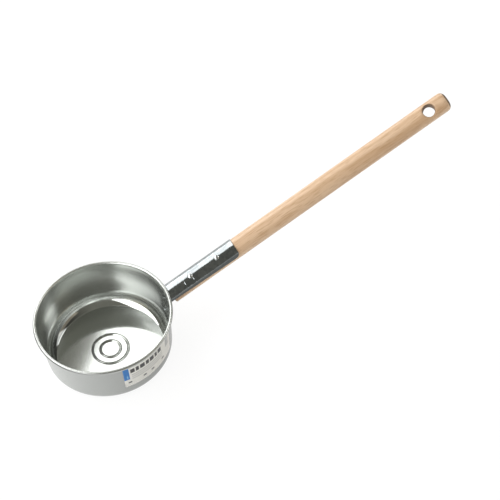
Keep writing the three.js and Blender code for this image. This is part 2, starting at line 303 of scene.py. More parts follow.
# %% [markdown]
# ## Hot-dip galvanised steel
# Steel sheet dipped in molten zinc is grey and semi-bright, with a faint cloudiness and crystals called
# spangle. Where the press has stretched the sheet, in the wall, the zinc turns duller and shows upright
# draw marks, and the flat base stays a soft mirror. The mesh therefore carries a number named
# drawn, from 0 on the base to 1 on the wall. On the socket the same number marks the worn lower
# sides, whose darker colour is painted shade. A second number, painted_shade, says how much painted shade
# darkens a place on the pan. The patterns come first, in a function of their own, because the pan and the
# socket share them.

# %% Zinc patterns
CLOUD_SIZE = 26 * MM
SPANGLE_SIZE = 2.6 * MM
# Real draw marks are finer than a millimetre. They are drawn this wide so that they show.
STREAK_SIZE = 5 * MM
STREAK_STRETCH = 0.12


def zinc_patterns(tree):
    place = add_node(tree, "ShaderNodeTexCoord", {}).outputs["Object"]
    upright = add_node(
        tree, "ShaderNodeMapping", {"Vector": place, "Scale": (1.0, 1.0, STREAK_STRETCH)}
    )
    spangle = add_node(tree, "ShaderNodeTexVoronoi", {"Vector": place, "Scale": 1 / SPANGLE_SIZE})
    crystal = add_node(tree, "ShaderNodeSeparateColor", {"Color": spangle.outputs["Color"]})
    clouds = add_node(
        tree, "ShaderNodeTexNoise", {"Vector": place, "Scale": 1 / CLOUD_SIZE, "Detail": 4.0}
    )
    streaks = add_node(
        tree,
        "ShaderNodeTexNoise",
        {"Vector": upright.outputs[0], "Scale": 1 / STREAK_SIZE, "Detail": 3.0},
    )
    patterns = {
        "place": place,
        "crystal": crystal.outputs[0],
        "clouds": clouds.outputs["Fac"],
        "streaks": streaks.outputs["Fac"],
    }
    for name in ("drawn", "painted_shade"):
        number = add_node(tree, "ShaderNodeAttribute", {}, attribute_name=name)
        patterns[name] = number.outputs["Fac"]
    return patterns


print("spangle", round(SPANGLE_SIZE / MM, 1), "mm, clouds", round(CLOUD_SIZE / MM), "mm")

# %% [markdown]
# ### Zinc colour and gloss
# Clouds and crystals shift the grey a little, and each mirrors slightly more or less sharply than its
# neighbour. How strong that is, the mottle, differs: the pressed pan is almost even, and the socket's old
# zinc isn't. Drawn zinc, which on the socket carries painted shade, and then painted shade cover that
# ground colour in two layers.

# %% Zinc colour and gloss
# Grey of the painted shade: the curl's outer side, the outside wall and dark patches inside the pan
PAINTED_SHADE_GREY = "424342"
CRYSTAL_TINT = 0.35
TINT_FROM = 0.4
TINT_TO = 0.95
UNEVEN_FROM = 0.3
UNEVEN_TO = 1.5
UNEVEN_SHARE = 0.2


def zinc_colour(tree, patterns, pale, dark, drawn, mottle):
    tint = add_node(
        tree,
        "ShaderNodeMath",
        {0: patterns["crystal"], 1: CRYSTAL_TINT, 2: patterns["clouds"]},
        operation="MULTIPLY_ADD",
    ).outputs[0]
    tint = add_node(
        tree,
        "ShaderNodeMapRange",
        {
            "Value": tint,
            "From Min": TINT_FROM,
            "From Max": TINT_TO,
            "To Min": 0.5 - 0.5 * mottle,
            "To Max": 0.5 + 0.5 * mottle,
        },
    ).outputs[0]
    colour = linear(pale)
    # The two last layers are drawn zinc, with painted shade on the socket's lower sides, and painted shade
    for share, layer in ((tint, dark), (patterns["drawn"], drawn), (patterns["painted_shade"], PAINTED_SHADE_GREY)):
        colour = add_node(
            tree,
            "ShaderNodeMix",
            {"Factor": share, "A": colour, "B": linear(layer)},
            data_type="RGBA",
        ).outputs["Result"]
    return colour


def zinc_roughness(tree, patterns, bright_roughness, drawn_roughness, mottle):
    even_roughness = add_node(
        tree,
        "ShaderNodeMapRange",
        {"Value": patterns["drawn"], "To Min": bright_roughness, "To Max": drawn_roughness},
    ).outputs[0]
    uneven = add_node(
        tree, "ShaderNodeMath", {0: patterns["clouds"], 1: patterns["crystal"]}, operation="ADD"
    ).outputs[0]
    share = add_node(
        tree,
        "ShaderNodeMapRange",
        {
            "Value": uneven,
            "From Min": UNEVEN_FROM,
            "From Max": UNEVEN_TO,
            "To Min": 1 - UNEVEN_SHARE * mottle,
            "To Max": 1 + UNEVEN_SHARE * mottle,
        },
    ).outputs[0]
    return add_node(
        tree, "ShaderNodeMath", {0: even_roughness, 1: share}, operation="MULTIPLY"
    ).outputs[0]


print("grime:", PAINTED_SHADE_GREY)

# %% [markdown]
# ### Two galvanised finishes
# The zinc has a slight orange peel where it froze on the flat sheet, and draw marks where the sheet was
# pressed. One bump takes both. Drawn zinc carries a thin chalky layer, so it is a little less metallic. The
# pan is the brighter finish. The socket's zinc looks older: darker, rougher and full of spangle.

# %% Two galvanised finishes
STREAK_HEIGHT = 0.25
DRAWN_METALLIC = 0.85
ZINC_PALE = "dfe1dd"
ZINC_DARK = "b5bab7"
DRAWN_PALE = "d4d7d4"
OLD_ZINC_PALE = "aeb2b3"
OLD_ZINC_DARK = "8b9092"
# Worn zinc on the socket's lower sides, painted dark as shade
WORN_ZINC_SHADE = "5c6060"


def zinc_relief(tree, patterns, ripple_height, ripple_size):
    ripples = add_node(
        tree,
        "ShaderNodeTexNoise",
        {"Vector": patterns["place"], "Scale": 1 / ripple_size, "Detail": 2.0},
    ).outputs["Fac"]
    marks = add_node(
        tree, "ShaderNodeMath", {0: patterns["drawn"], 1: STREAK_HEIGHT}, operation="MULTIPLY"
    ).outputs[0]
    marks = add_node(
        tree, "ShaderNodeMath", {0: patterns["streaks"], 1: marks}, operation="MULTIPLY"
    ).outputs[0]
    undrawn = add_node(
        tree, "ShaderNodeMath", {0: 1.0, 1: patterns["drawn"]}, operation="SUBTRACT"
    ).outputs[0]
    relief = add_node(
        tree, "ShaderNodeMath", {0: ripples, 1: undrawn, 2: marks}, operation="MULTIPLY_ADD"
    ).outputs[0]
    return add_node(
        tree, "ShaderNodeBump", {"Height": relief, "Distance": ripple_height, "Strength": 1.0}
    ).outputs["Normal"]


def galvanised(name, colours, mottle, bright_roughness, drawn_roughness, ripple_height, ripple_size):
    material = new_material(name)
    tree = material.node_tree
    patterns = zinc_patterns(tree)
    metallic = add_node(
        tree,
        "ShaderNodeMapRange",
        {"Value": patterns["drawn"], "To Min": 1.0, "To Max": DRAWN_METALLIC},
    ).outputs[0]
    steel = add_node(
        tree,
        "ShaderNodeBsdfPrincipled",
        {
            "Base Color": zinc_colour(tree, patterns, *colours, mottle),
            "Metallic": metallic,
            "Roughness": zinc_roughness(tree, patterns, bright_roughness, drawn_roughness, mottle),
            "Normal": zinc_relief(tree, patterns, ripple_height, ripple_size),
        },
    )
    add_node(tree, "ShaderNodeOutputMaterial", {"Surface": steel.outputs[0]})
    return material


pan_steel = galvanised(
    "hot_dip_galvanised_pan_steel",
    colours=(ZINC_PALE, ZINC_DARK, DRAWN_PALE),
    mottle=0.2,
    bright_roughness=0.08,
    drawn_roughness=0.26,
    ripple_height=0.0028 * MM,
    ripple_size=3 * MM,
)
socket_steel = galvanised(
    "hot_dip_galvanised_socket_steel",
    colours=(OLD_ZINC_PALE, OLD_ZINC_DARK, WORN_ZINC_SHADE),
    mottle=1.0,
    bright_roughness=0.14,
    drawn_roughness=0.4,
    ripple_height=0.05 * MM,
    ripple_size=2.5 * MM,
)
print("galvanised finishes:", pan_steel.name, socket_steel.name)

# %% [markdown]
# ## Pan
# The pan is one pressed sheet: flat base, rounded corner, a wall that flares a little, and a rim rolled
# outwards so that no sharp edge is left. A modeller could spin a curve with a Screw modifier. Here the
# section is written as a list of arcs and lines and turned in code, because the curl has an inside and an
# open end that has to be exact. Inside, the base ends in a crisp bend before the corner rises, and the
# corner catches a crescent of light there. Plain round ripples are pressed up into the middle of the base,
# which stiffens it.

# %% Pan sizes
SHEET = 0.6
RIM_RADIUS = 75.0
PAN_HEIGHT = 60.0
CURL_RADIUS = 1.8
CURL_END = math.radians(-105)
FLAT_RADIUS = 54.5
CORNER_RADIUS = 14.0
RIPPLE_RADII = (19.5, 11.0)
RIPPLE_WIDTH = 3.4
RIPPLE_HEIGHT = 1.1

curl_bore = CURL_RADIUS - SHEET
curl_centre = (RIM_RADIUS - CURL_RADIUS, PAN_HEIGHT - CURL_RADIUS)
corner_centre = (FLAT_RADIUS, CORNER_RADIUS)
corner_to_curl = Vector(curl_centre) - Vector(corner_centre)
# The wall touches the corner's arc on one side and the curl's bore on the other.
wall_angle = math.atan2(corner_to_curl.y, corner_to_curl.x) - math.acos(
    (CORNER_RADIUS + curl_bore) / corner_to_curl.length
)
wall_foot = (
    corner_centre[0] + CORNER_RADIUS * math.cos(wall_angle),
    corner_centre[1] + CORNER_RADIUS * math.sin(wall_angle),
)


def wall_radius(height, offset=0.0):
    """The outside radius of the wall at a height, or that of a surface so far off the wall."""
    rise = (height - wall_foot[1]) * math.sin(wall_angle)
    return wall_foot[0] + (offset - rise) / math.cos(wall_angle)


def base_lift(radius):
    """How far the ripples lift the base at this radius."""
    lift = 0.0
    for middle in RIPPLE_RADII:
        share = abs(radius - middle) / (RIPPLE_WIDTH / 2)
        if share < 1:
            lift += RIPPLE_HEIGHT * (1 + math.cos(math.pi * share)) / 2
    return lift


print("wall flares by", round(-math.degrees(wall_angle), 2), "degrees")

# %% [markdown]
# ### Pan section
# The section runs from the middle of the base out and up the inside, round the curl, back through the
# curl's bore, down the outside and in along the underside. Inside, the flat runs a little further out than
# it does underneath and ends in a bend, and an arc leads from there to the wall without a kink. Its radius
# follows from the bend's tilt and the distance that is left to the wall.

# %% Pan section
INSIDE_FLAT = 58.2
EDGE_BEND = 0.3
EDGE_TILT = math.radians(31)
BASE_STEP = 0.25
BEND_STEPS = 6
CORNER_STEPS = 24
WALL_STEPS = 40
CURL_STEPS = 28
BORE_STEPS = 20

edge_end = (
    INSIDE_FLAT + EDGE_BEND * math.sin(EDGE_TILT),
    SHEET + EDGE_BEND * (1 - math.cos(EDGE_TILT)),
)
to_wall = (
    math.cos(wall_angle) * (wall_foot[0] - edge_end[0])
    + math.sin(wall_angle) * (wall_foot[1] - edge_end[1])
    - SHEET
)
inside_radius = to_wall / (1 - math.sin(EDGE_TILT - wall_angle))
inside_centre = (
    edge_end[0] - inside_radius * math.sin(EDGE_TILT),
    edge_end[1] + inside_radius * math.cos(EDGE_TILT),
)


def straight(start, end, steps):
    """The points between two ends of a line, without the ends."""
    points = []
    for step in range(1, steps):
        share = step / steps
        points.append(
            (start[0] + (end[0] - start[0]) * share, start[1] + (end[1] - start[1]) * share)
        )
    return points


inside_radii = [step * BASE_STEP for step in range(int(INSIDE_FLAT / BASE_STEP))]
outside_radii = [step * BASE_STEP for step in range(int(FLAT_RADIUS / BASE_STEP))]
inside_floor = [(radius, SHEET + base_lift(radius)) for radius in inside_radii]
underside = [(radius, base_lift(radius)) for radius in reversed(outside_radii)]
tilt_start = EDGE_TILT - math.pi / 2
bend_centre = (INSIDE_FLAT, SHEET + EDGE_BEND)
inside_edge = arc(bend_centre, EDGE_BEND, -math.pi / 2, tilt_start, BEND_STEPS)
inside_corner = arc(inside_centre, inside_radius, tilt_start, wall_angle, CORNER_STEPS)[1:]
outside_corner = arc(corner_centre, CORNER_RADIUS, wall_angle, -math.pi / 2, CORNER_STEPS)
curl_start = math.pi + wall_angle
curl_outside = arc(curl_centre, CURL_RADIUS, curl_start, CURL_END, CURL_STEPS)
curl_inside = arc(curl_centre, curl_bore, CURL_END, curl_start, BORE_STEPS)

pan_section = (
    inside_floor
    + inside_edge
    + inside_corner
    + straight(inside_corner[-1], curl_outside[0], WALL_STEPS)
    + curl_outside
    + curl_inside
    + straight(curl_inside[-1], outside_corner[0], WALL_STEPS)
    + outside_corner
    + underside
)
curl_first = len(inside_floor + inside_edge + inside_corner) + WALL_STEPS - 1
outside_first = curl_first + len(curl_outside)
print("pan section has", len(pan_section), "points, inner corner radius", round(inside_radius, 1), "mm")

# %% [markdown]
# ### Pan mesh
# A pressed wall is never perfectly round: inside it bows and wanders by tenths of a millimetre, which
# stretches the mirrored lamps into soft uneven patches. A Displace modifier could do that. Moving the
# points in code keeps the wall true where the riveted tongue holds it, and the bow away from the corner and
# the rim.

# %% Pan mesh
PAN_SIDES = 240
WALL_BOW = 0.6
BOW_TOP = PAN_HEIGHT - 5
DENT_SIZE = 40.0
DENT_DEPTH = 0.22
# Heights between which the dents fade in from below and from above
DENTS_FROM_FOOT = (6, 18)
DENTS_FROM_RIM = (PAN_HEIGHT - 5, PAN_HEIGHT - 13)
HELD_BY_TONGUE = (math.radians(6), math.radians(28))
LEAST_RADIUS = 1e-6


def between(value, start, end):
    """0 at the start, 1 at the end, and even in between."""
    return min(1, max(0, (value - start) / (end - start)))


def section_index(number):
    """The place in the section of one of the pan's points."""
    return 0 if number == 0 else (number - 1) // PAN_SIDES + 1


def soft_dents(number, point):
    x, y, z = point
    if section_index(number) >= curl_first:
        return point
    fade = between(z, *DENTS_FROM_FOOT) * between(z, *DENTS_FROM_RIM)
    bow = WALL_BOW * math.sin(math.pi * between(z, CORNER_RADIUS, BOW_TOP)) ** 2
    wander = DENT_DEPTH * fade * (noise.noise(Vector(point) / DENT_SIZE) + 1) / 2
    free = between(abs(math.atan2(y, x)), *HELD_BY_TONGUE)
    shrink = 1 - free * (bow + wander) / max(math.hypot(x, y), LEAST_RADIUS)
    return (x * shrink, y * shrink, z)


plain_pan, pan_faces = turned(pan_section, PAN_SIDES)
pan_points = [soft_dents(number, point) for number, point in enumerate(plain_pan)]
pan = make_piece("pan_body", "pan", pan_points, pan_faces, pan_steel)

# %% [markdown]
# ### Drawn zinc and painted shade on the pan
# The zinc isn't equally bright all over. Painted shade darkens the outer side of the curl, less of it on
# the side that carries the label. Outside, the wall is painted darker as shade, most of all below the
# handle. Inside, painted shade darkens it low down, beside the rivets and in the corner across from them.
# An artist would paint such masks by hand. Here formulas of height and direction give each point its two
# numbers, drawn and painted_shade, so no mask picture has to be painted or stored.

# %% Drawn zinc and painted shade on the pan
DRAWN_HEIGHTS = (3.0, 12.0)
LABEL_AZIMUTH = math.radians(-70)
# Angles round the curl's own section between which the painted shade lies
CURL_SHADE_FROM = math.radians(66)
CURL_SHADE_TO = math.radians(-36)
CURL_SHADE_FADE = math.radians(14)
CURL_SHADE = 0.7
LABEL_SIDE_SHADE = 0.3
LABEL_SIDE_ANGLES = (math.radians(75), math.radians(35))
# Painted shade on the outside wall, darker towards the handle
OUTSIDE_SHADE = 0.52
OUTSIDE_SHADE_SWING = 0.24
# Each painted shade patch inside as its strength, and the heights between which it fades in from below and
# from above
LOW_WALL_SHADE = (0.2, (8, 14), (36, 22))
RIVET_SIDE_SHADE = (0.85, (8, 16), (PAN_HEIGHT - 2, PAN_HEIGHT - 8))
CORNER_SHADE = (0.75, (0.65, 1.0), (8, 4))
RIVET_SIDE_ANGLES = (math.radians(65), math.radians(5))
SHADED_CORNER_AZIMUTH = math.radians(150)
SHADED_CORNER_ANGLES = (math.radians(65), math.radians(40))


def angle_from(azimuth, middle):
    return abs(math.remainder(azimuth - middle, 2 * math.pi))


# Painted shade along the curl's outer side, lighter on the side with the label
def curl_shade(azimuth, radius, height):
    lean = math.atan2(height - curl_centre[1], radius - curl_centre[0])
    label_side = between(angle_from(azimuth, LABEL_AZIMUTH), *LABEL_SIDE_ANGLES)
    shade = CURL_SHADE + (LABEL_SIDE_SHADE - CURL_SHADE) * label_side
    from_top = between(lean, CURL_SHADE_FROM, CURL_SHADE_FROM - CURL_SHADE_FADE)
    from_foot = between(lean, CURL_SHADE_TO, CURL_SHADE_TO + CURL_SHADE_FADE)
    return shade * from_top * from_foot


# Painted shade inside the pan, fading in and out with height
def shaded_area(height, strength, from_below, from_above):
    return strength * between(height, *from_below) * between(height, *from_above)


# Painted shade: the darker outside wall, the curl's outer side and dark patches inside
def painted_shade_share(number, point):
    x, y, height = point
    index = section_index(number)
    azimuth = math.atan2(y, x)
    if index >= outside_first:
        return OUTSIDE_SHADE + OUTSIDE_SHADE_SWING * math.cos(azimuth)
    if index >= curl_first:
        return curl_shade(azimuth, math.hypot(x, y), height)
    beside_rivets = between(abs(azimuth), *RIVET_SIDE_ANGLES)
    across = between(angle_from(azimuth, SHADED_CORNER_AZIMUTH), *SHADED_CORNER_ANGLES)
    return max(
        shaded_area(height, *LOW_WALL_SHADE),
        shaded_area(height, *RIVET_SIDE_SHADE) * beside_rivets,
        shaded_area(height, *CORNER_SHADE) * across,
    )


def give_numbers(piece, name, values):
    numbers = piece.data.attributes.new(name, "FLOAT", "POINT")
    numbers.data.foreach_set("value", values)
    print(piece.name, "carries", name, "from", round(min(values), 2), "to", round(max(values), 2))


give_numbers(pan, "drawn", [between(z, *DRAWN_HEIGHTS) for x, y, z in pan_points])
# Painted shade for the pan, in a number of its own
give_numbers(pan, "painted_shade", [painted_shade_share(number, point) for number, point in enumerate(plain_pan)])

# %% [markdown]
# ## Handle axes
# The handle rises at 17 degrees from the wall, just under the rim. Socket, nails and handle are easiest to
# build in axes of their own: +X along the handle, +Z towards its crown. One matrix then puts them in the
# ladle.

# %% Handle axes
RISE = math.radians(17)
SOCKET_BELOW_CURL = 1.9
HANDLE_RADIUS = 11.0
HANDLE_PLAY = 0.3
SOCKET_BORE = HANDLE_RADIUS + HANDLE_PLAY
SOCKET_RADIUS = SOCKET_BORE + SHEET

crown_height = PAN_HEIGHT - 2 * CURL_RADIUS - SOCKET_BELOW_CURL
axis_height = crown_height - SOCKET_RADIUS / math.cos(RISE)
axis_start = Vector((wall_radius(axis_height), 0, axis_height))
handle_axes = Matrix.Translation(axis_start) @ Matrix.Rotation(-RISE, 4, "Y")
handle_place = Matrix.Translation(axis_start * MM) @ Matrix.Rotation(-RISE, 4, "Y")


def round_handle(along, angle, radius):
    """A point in the handle's axes. The angle counts from the crown towards the near side, -Y."""
    return Vector((along, -radius * math.sin(angle), radius * math.cos(angle)))


print("handle leaves the wall at", [round(value, 2) for value in axis_start])

# %% [markdown]
# ## Socket
# The socket is a strip of galvanised sheet, bent over the handle like a gutter and open underneath. At the
# pan its sides turn out into ears that lie on the wall, and its crown turns down into a tongue for the
# rivets. Real sheet bends in a small curve, so each column of points runs along the gutter, round a bend
# and onto the wall. Only the middle of the sheet is drawn here, and modifiers make it a sheet later. The
# columns come first: an ear, the tongue and the other ear, with a slit between them where the sheet was
# snipped.

# %% Socket columns
SOCKET_LENGTH = 94.0
SOCKET_REACH_INNER = math.radians(77)
SOCKET_REACH_OUTER = math.radians(89)
EAR_START = math.radians(34)
TONGUE_HALF = 6.0
EAR_COLUMNS = 26
TONGUE_COLUMNS = 27

mid_radius = (SOCKET_RADIUS + SOCKET_BORE) / 2
tongue_edge = math.asin(TONGUE_HALF / mid_radius)


def even(start, end, count):
    """Evenly spaced values from the start to the end."""
    return [start + (end - start) * step / (count - 1) for step in range(count)]


ear_angles = even(EAR_START, SOCKET_REACH_INNER, EAR_COLUMNS)
tongue_angles = even(-tongue_edge, tongue_edge, TONGUE_COLUMNS)
socket_angles = [-angle for angle in reversed(ear_angles)] + tongue_angles + ear_angles
print("socket columns:", len(socket_angles))

# %% [markdown]
# ### Hammer marks
# Someone bent this sheet by hand and drove the nails through it. The sheet is pushed in round the nails, a
# few missed blows left raised creases beside them, and it is nowhere quite round. A sculptor would press
# these marks in with a brush. A short list of soft dents and creases, plus a little noise, gives the same
# and stays exact.

# %% Hammer marks
NAIL_ALONG = (37.0, 71.4)
NAIL_DEGREES = 17
HAND_BENT_SIZE = 9.0
HAND_BENT_DEPTH = 0.05

# Place along, angle in degrees, depth, size along, size across
HAMMER_MARKS = (
    (NAIL_ALONG[0], NAIL_DEGREES, 0.30, 4.0, 4.0),
    (NAIL_ALONG[1], NAIL_DEGREES, 0.30, 4.0, 4.0),
    (28.8, 37, -0.30, 0.8, 3.4),
    (39.4, 42, -0.26, 0.8, 3.6),
    (33.0, 55, -0.14, 0.9, 2.2),
    (62.0, 52, 0.12, 5.0, 2.0),
)


def sheet_radius(along, angle):
    """The radius of the sheet's middle at a place on the gutter."""
    radius = mid_radius
    for mark_along, mark_degrees, depth, length, width in HAMMER_MARKS:
        along_share = (along - mark_along) / length
        across_share = (angle - math.radians(mark_degrees)) * mid_radius / width
        radius -= depth * math.exp(-(along_share**2) - across_share**2)
    ripple = noise.noise(Vector((along, angle * mid_radius, 0)) / HAND_BENT_SIZE)
    return radius + ripple * HAND_BENT_DEPTH


print("radius at the first nail:", round(sheet_radius(NAIL_ALONG[0], math.radians(NAIL_DEGREES)), 2), "mm")

# %% [markdown]
# ### Gutter
# Each column of the gutter starts one bend away from the wall. Where a slanted line meets a flared round
# wall has no handy formula, so the place is found by halving a search range until it is exact. The gutter
# reaches further round the handle towards its outer end, and the corners of that end are rounded.

# %% Gutter
SHEET_OFF_WALL = 0.35
BEND = 1.9
END_CORNER = 6.0
SOCKET_ROWS = 260
SEARCH_REACH = 20.0
SEARCH_HALVINGS = 40


def along_to_wall(angle):
    """How far along the handle a line of the gutter meets the wall."""
    near, far = -SEARCH_REACH, SEARCH_REACH
    for _ in range(SEARCH_HALVINGS):
        middle = (near + far) / 2
        point = handle_axes @ round_handle(middle, angle, mid_radius)
        if math.hypot(point.x, point.y) < wall_radius(point.z, SHEET_OFF_WALL):
            near = middle
        else:
            far = middle
    return (near + far) / 2


def corner_trim(to_edge, radius):
    """How much a rounded corner takes away, so far in from the edge."""
    if to_edge >= radius:
        return 0.0
    return radius - math.sqrt(radius**2 - (radius - to_edge) ** 2)


spread = SOCKET_REACH_OUTER / SOCKET_REACH_INNER
wall_meets = [along_to_wall(angle) for angle in socket_angles]
socket_points = []
for row in range(SOCKET_ROWS):
    share = row / (SOCKET_ROWS - 1)
    reach = SOCKET_REACH_INNER + (SOCKET_REACH_OUTER - SOCKET_REACH_INNER) * share
    for column, start_angle in enumerate(socket_angles):
        angle = start_angle * reach / SOCKET_REACH_INNER
        start = wall_meets[column] + BEND
        to_edge = (SOCKET_REACH_INNER - abs(start_angle)) * spread * mid_radius
        end = SOCKET_LENGTH - corner_trim(to_edge, END_CORNER)
        along = start + (end - start) * share
        socket_points.append(round_handle(along, angle, sheet_radius(along, angle)))
socket_faces = sheet_faces(SOCKET_ROWS, len(socket_angles))
print("gutter points:", len(socket_points))

# %% [markdown]
# ### Ears and tongue
# The ears and the tongue go on from the gutter's first row: round the bend, then along the wall. A bend is
# a curve with one control point at the corner, which meets both straight stretches without a kink. The ears
# have rounded corners, and the tongue ends in a half round.

# %% Ears and tongue
EAR_WIDTH = 4.5
EAR_CORNER = 1.6
TONGUE_FOOT = 19.06
BEND_ROWS = 8
EAR_ROWS = 7
TONGUE_ROWS = 40

to_axes = handle_axes.inverted()


def on_wall(point):
    """The nearest point where the middle of a sheet that lies on the wall would be."""
    azimuth = math.atan2(point.y, point.x)
    radius = wall_radius(point.z, SHEET_OFF_WALL)
    return Vector((radius * math.cos(azimuth), radius * math.sin(azimuth), point.z))


def bent(start, corner, end):
    curve = []
    for row in range(1, BEND_ROWS):
        share = row / BEND_ROWS
        curve.append(
            (1 - share) ** 2 * start + 2 * share * (1 - share) * corner + share**2 * end
        )
    return curve


def ear_width(angle):
    to_edge = min(abs(angle) - EAR_START, SOCKET_REACH_INNER - abs(angle)) * mid_radius
    return EAR_WIDTH - corner_trim(to_edge, EAR_CORNER)


def ear_column(column):
    angle = socket_angles[column]
    start = handle_axes @ socket_points[column]
    corner = handle_axes @ round_handle(wall_meets[column], angle, mid_radius)
    outwards = handle_axes.to_3x3() @ round_handle(0, angle, 1)
    points = bent(start, corner, on_wall(corner + outwards * BEND))
    for width in even(BEND, ear_width(angle), EAR_ROWS):
        points.append(on_wall(corner + outwards * width))
    return points


def tongue_column(column):
    angle = socket_angles[column]
    start = handle_axes @ socket_points[column]
    corner = on_wall(handle_axes @ round_handle(wall_meets[column], angle, mid_radius))
    across = corner.y
    foot = TONGUE_FOOT + TONGUE_HALF - math.sqrt(max(0, TONGUE_HALF**2 - across**2))
    points = bent(start, corner, on_wall(corner - Vector((0, 0, BEND))))
    for height in even(corner.z - BEND, foot, TONGUE_ROWS):
        points.append(on_wall(Vector((corner.x, across, height))))
    return points


def add_tab(first_column, count, column_points):
    """Continues some columns of the gutter with further rows of points."""
    tab = [column_points(first_column + step) for step in range(count)]
    rows = len(tab[0])
    first = len(socket_points)
    for row in range(rows):
        for points in tab:
            socket_points.append(to_axes @ points[row])
    for step in range(count - 1):
        socket_faces.append(
            (first_column + step, first + step, first + step + 1, first_column + step + 1)
        )
    socket_faces.extend(sheet_faces(rows, count, first))


add_tab(0, EAR_COLUMNS, ear_column)
add_tab(EAR_COLUMNS, TONGUE_COLUMNS, tongue_column)
add_tab(EAR_COLUMNS + TONGUE_COLUMNS, EAR_COLUMNS, ear_column)
print("socket sheet: gutter", SOCKET_LENGTH, "mm, tongue down to", TONGUE_FOOT, "mm")

# %% [markdown]
# ### Socket piece
# A Solidify modifier gives the sheet its thickness, half to each side, and a Bevel breaks its cut edges so
# that they catch the light. The lower sides of the gutter, where hands and water wear the zinc, are
# rougher, and their darker colour is painted shade.

# %% Socket piece
EDGE_BREAK = 0.12
CUT_EDGE_ANGLE = math.radians(60)
# Angles from the crown over which the lower sides turn rougher and painted shade darkens them
WORN_SHADED_SIDE_ANGLES = (math.radians(60), math.radians(70))

socket = make_piece(
    "socket_sheet",
    "socket",
    socket_points,
    socket_faces,
    socket_steel,
    handle_place,
)
sheet_thickness = socket.modifiers.new("sheet_thickness", "SOLIDIFY")
sheet_thickness.thickness = SHEET * MM
sheet_thickness.offset = 0
sheet_thickness.use_even_offset = True
broken_edges = socket.modifiers.new("broken_edges", "BEVEL")
broken_edges.width = EDGE_BREAK * MM
broken_edges.segments = 2
broken_edges.limit_method = "ANGLE"
broken_edges.angle_limit = CUT_EDGE_ANGLE
from_crown = [abs(math.atan2(point.y, point.z)) for point in socket_points]
# On the socket this number marks the worn lower sides and their painted shade
give_numbers(socket, "drawn", [between(angle, *WORN_SHADED_SIDE_ANGLES) for angle in from_crown])

# %% [markdown]
# ## Rivets
# Two soft rivets go through tongue and wall, one above the other, and show as small domes inside the pan. A
# rivet is a turned profile: a dome, a shank that nobody sees, and the second dome that the hammer closed.

# %% Rivets
RIVETS_FROM_AXIS = (4, -16)
RIVET_HEAD_RADIUS = 2.8
RIVET_HEAD_HEIGHT = 1.1
RIVET_SHANK_RADIUS = 1.4
RIVET_SIDES = 48
DOME_STEPS = 12


def dome(radius, height):
    """Points of a spherical cap from its foot to its top, as (radius, height above the foot)."""
    ball = (radius**2 + height**2) / (2 * height)
    spread = math.asin(radius / ball)
    points = []
    for step in range(DOME_STEPS + 1):
        angle = spread * (1 - step / DOME_STEPS)
        points.append((ball * math.sin(angle), ball * math.cos(angle) - ball + height))
    return points


inside_face = -SHEET
outside_face = SHEET_OFF_WALL + SHEET / 2
head = dome(RIVET_HEAD_RADIUS, RIVET_HEAD_HEIGHT)
rivet_section = [(radius, inside_face - height) for radius, height in reversed(head)]
rivet_section += [(RIVET_SHANK_RADIUS, inside_face), (RIVET_SHANK_RADIUS, outside_face)]
rivet_section += [(radius, outside_face + height) for radius, height in head]

rivet_points, rivet_faces = turned(rivet_section, RIVET_SIDES)
square_to_wall = Matrix.Rotation(math.pi / 2 - wall_angle, 4, "Y")
for number, from_axis in enumerate(RIVETS_FROM_AXIS, start=1):
    height = axis_height + from_axis
    seat = Vector((wall_radius(height), 0, height))
    make_piece(
        f"rivet_{number}_turned",
        f"rivet_{number}",
        rivet_points,
        rivet_faces,
        socket_steel,
        Matrix.Translation(seat * MM) @ square_to_wall,
    )

# %% [markdown]
# ## Beech
# The handle is a plain sanded dowel of pale close-grained wood, such as beech, with no varnish. The eye
# sees faint long streaks where the growth rings run out of the surface, slow changes between straw and
# pink, and short darker flecks. Each pattern lies in the handle's own axes and runs along the grain.

# %% Beech patterns
RING_SPACING = 6.31 * MM
# A wave texture takes the sine of 20 times its place, so at scale 1 its bands lie this far apart.
WAVE_REPEAT = 2 * math.pi / 20
RING_TURN = math.radians(25)
GRAIN_RUNOUT = math.radians(1.4)
STREAK_LENGTH = 90 * MM
STREAK_WIDTH = 1.8 * MM
SLOW_LENGTH = 110 * MM
SLOW_WIDTH = 12 * MM
# Real flecks are about half a millimetre wide and a few long. They are drawn larger so that they show.
FLECK_LENGTH = 12 * MM
FLECK_WIDTH = 1.1 * MM
FLECK_FROM = 0.5
FLECK_TO = 0.72

beech = new_material("sanded_beech")
tree = beech.node_tree
place = add_node(tree, "ShaderNodeTexCoord", {}).outputs["Object"]


def along_grain(length, width, detail):
    """Cloudy noise that is stretched along the handle."""
    stretched = add_node(
        tree, "ShaderNodeMapping", {"Vector": place, "Scale": (1 / length, 1 / width, 1 / width)}
    ).outputs[0]
    return add_node(
        tree, "ShaderNodeTexNoise", {"Vector": stretched, "Scale": 1.0, "Detail": detail}
    ).outputs["Fac"]


streaks = along_grain(STREAK_LENGTH, STREAK_WIDTH, 4.0)
slow = along_grain(SLOW_LENGTH, SLOW_WIDTH, 2.0)
flecks = add_node(
    tree,
    "ShaderNodeMapRange",
    {
        "Value": along_grain(FLECK_LENGTH, FLECK_WIDTH, 1.0),
        "From Min": FLECK_FROM,
        "From Max": FLECK_TO,
    },
).outputs[0]
ring_place = add_node(
    tree, "ShaderNodeMapping", {"Vector": place, "Rotation": (RING_TURN, 0, GRAIN_RUNOUT)}
).outputs[0]
rings = add_node(
    tree,
    "ShaderNodeTexWave",
    {
        "Vector": ring_place,
        "Scale": WAVE_REPEAT / RING_SPACING,
        "Distortion": 2.5,
        "Detail": 2.0,
        "Detail Scale": 0.6,
    },
    wave_type="BANDS",
    bands_direction="Y",
).outputs["Fac"]
print("growth rings", round(RING_SPACING / MM, 1), "mm apart, flecks", round(FLECK_LENGTH / MM), "mm long")

